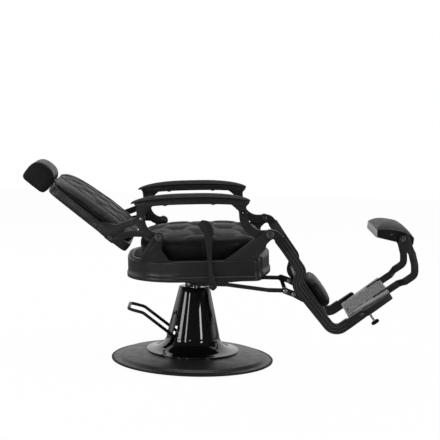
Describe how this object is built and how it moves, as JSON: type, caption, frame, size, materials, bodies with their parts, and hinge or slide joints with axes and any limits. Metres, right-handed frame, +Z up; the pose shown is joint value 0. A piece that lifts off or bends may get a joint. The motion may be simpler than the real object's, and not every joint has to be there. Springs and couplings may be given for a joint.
{
  "type": "hydraulic barber chair",
  "caption": "Swivelling, height-adjustable salon chair on a round floor disc, with tufted seat and back, linked armrests and leg rest that recline together, headrest and sliding foot pad.",
  "frame": {"origin": "middle of the floor disc's underside, on the floor", "axes": "+X from the backrest towards the footrest, +Y to the sitter's left, +Z up"},
  "size_m": [1.573, 0.66, 0.7956],
  "materials": {
    "black_powder_coat": "satin",
    "black_gloss_paint": "high gloss",
    "satin_black_paint": "satin",
    "black_leather": "soft sheen, fine grain",
    "zinc_steel": "satin zinc",
    "black_oxide_steel": "satin black oxide",
    "edge_rubber": "matte",
    "cast_pump": "matte",
    "grey_cast": "rough cast, ribbed",
    "black_stained_board": "matte",
    "black_plastic": "matte"
  },
  "bodies": {
    "base": {"base_plate": "satin_black_paint", "base_edge_ring": "edge_rubber", "cone_cover": "black_gloss_paint", "pump_cylinder": "cast_pump", "pump_block": "cast_pump", "pedal_shaft": "zinc_steel", "base_bolts": "zinc_steel"},
    "pedal": {"pump_pedal": "black_powder_coat"},
    "lift": {"piston_rod": "zinc_steel", "swivel_bearing": "zinc_steel"},
    "seat": {"lock_box": "black_powder_coat", "mount_bolts": "zinc_steel", "seat_pan": "satin_black_paint", "seat_rails": "black_powder_coat", "seat_board": "black_stained_board", "seat_cushion": "black_leather", "rear_ears": "black_powder_coat", "front_ears": "black_powder_coat", "pivot_bolts": "black_oxide_steel"},
    "lever": {"recline_lever": "black_powder_coat", "lever_shaft": "zinc_steel"},
    "back": {"back_bracket_right": "black_powder_coat", "back_bracket_left": "black_powder_coat", "back_shell": "satin_black_paint", "back_cushion": "black_leather", "bracket_screws": "black_oxide_steel", "arm_pins": "zinc_steel"},
    "headrest": {"headrest_post": "zinc_steel", "headrest_pad": "black_leather"},
    "arm_right": {"arm_rail_right": "black_powder_coat", "arm_pad_right": "black_leather", "pad_screws": "black_oxide_steel"},
    "arm_left": {"arm_rail_left": "black_powder_coat", "arm_pad_left": "black_leather", "pad_screws_left": "black_oxide_steel"},
    "leg_rest": {"leg_right": "black_powder_coat", "leg_left": "black_powder_coat", "front_arm_pins": "zinc_steel", "cross_tubes": "black_powder_coat", "calf_plate": "grey_cast", "calf_pad": "black_leather", "rod_brackets": "black_powder_coat", "leg_bolts": "zinc_steel", "foot_plate": "grey_cast", "plate_channels": "black_powder_coat", "plate_bolts": "black_oxide_steel"},
    "push_yoke": {"push_rods": "black_powder_coat", "yoke_pin": "zinc_steel"},
    "foot_slide": {"foot_arm_right": "black_powder_coat", "foot_arm_left": "black_powder_coat"},
    "foot_rest": {"foot_pad_board": "black_powder_coat", "foot_pad": "black_leather", "foot_pad_bolts": "black_oxide_steel"},
    "knob_right": {"clamp_knob_right": "black_plastic"},
    "knob_left": {"clamp_knob_left": "black_plastic"}
  },
  "joints": [
    {"name": "lift_slide", "type": "slide", "parent": "base", "child": "lift", "axis": [0, 0, 1], "range_m": [0, 0.15]},
    {"name": "seat_swivel", "type": "hinge", "parent": "lift", "child": "seat", "pos_m": [0, 0, 0.359], "axis": [0, 0, 1], "continuous": true},
    {"name": "pedal_hinge", "type": "hinge", "parent": "base", "child": "pedal", "pos_m": [-0.058, 0, 0.098], "axis": [0, 1, 0], "range_deg": [-22, 0], "stiffness_Nm_per_rad": 8, "springref_deg": 14.32},
    {"name": "lever_hinge", "type": "hinge", "parent": "seat", "child": "lever", "pos_m": [0.07111, 0, 0.35872], "axis": [0, 1, 0], "range_deg": [-20, 0], "stiffness_Nm_per_rad": 5, "springref_deg": 17.19},
    {"name": "recline_hinge", "type": "hinge", "parent": "seat", "child": "back", "pos_m": [-0.14271, 0, 0.54078], "axis": [0, 1, 0], "range_deg": [0, 36]},
    {"name": "headrest_slide", "type": "slide", "parent": "back", "child": "headrest", "axis": [-0.8007, 0, 0.599], "range_m": [-0.004, 0.07]},
    {"name": "arm_hinge_right", "type": "hinge", "parent": "back", "child": "arm_right", "pos_m": [-0.21349, 0, 0.61117], "axis": [0, 1, 0], "range_deg": [-38.5, 0]},
    {"name": "arm_hinge_left", "type": "hinge", "parent": "back", "child": "arm_left", "pos_m": [-0.21349, 0, 0.61117], "axis": [0, 1, 0], "range_deg": [-38.5, 0]},
    {"name": "leg_hinge", "type": "hinge", "parent": "seat", "child": "leg_rest", "pos_m": [0.2867, 0, 0.56328], "axis": [0, 1, 0], "range_deg": [0, 30]},
    {"name": "yoke_hinge", "type": "hinge", "parent": "leg_rest", "child": "push_yoke", "pos_m": [0.36013, 0, 0.3278], "axis": [0, 1, 0], "range_deg": [-28, 0]},
    {"name": "foot_extension_slide", "type": "slide", "parent": "leg_rest", "child": "foot_slide", "axis": [0.809, 0, 0.5878], "range_m": [0, 0.045]},
    {"name": "foot_pad_hinge", "type": "hinge", "parent": "foot_slide", "child": "foot_rest", "pos_m": [0.81833, 0, 0.54608], "axis": [0, 1, 0], "range_deg": [-25, 20]},
    {"name": "knob_turn_right", "type": "hinge", "parent": "leg_rest", "child": "knob_right", "pos_m": [0.6778, -0.115, 0.27384], "axis": [-0.5878, 0, 0.809], "continuous": true},
    {"name": "knob_turn_left", "type": "hinge", "parent": "leg_rest", "child": "knob_left", "pos_m": [0.6778, 0.115, 0.27384], "axis": [-0.5878, 0, 0.809], "continuous": true}
  ],
  "couplings": [
    {"joint": "leg_hinge", "follows": "recline_hinge", "ratio": 0.812},
    {"joint": "arm_hinge_right", "follows": "recline_hinge", "ratio": -1.054},
    {"joint": "arm_hinge_left", "follows": "recline_hinge", "ratio": -1.054},
    {"joint": "yoke_hinge", "follows": "recline_hinge", "ratio": -0.752}
  ]
}
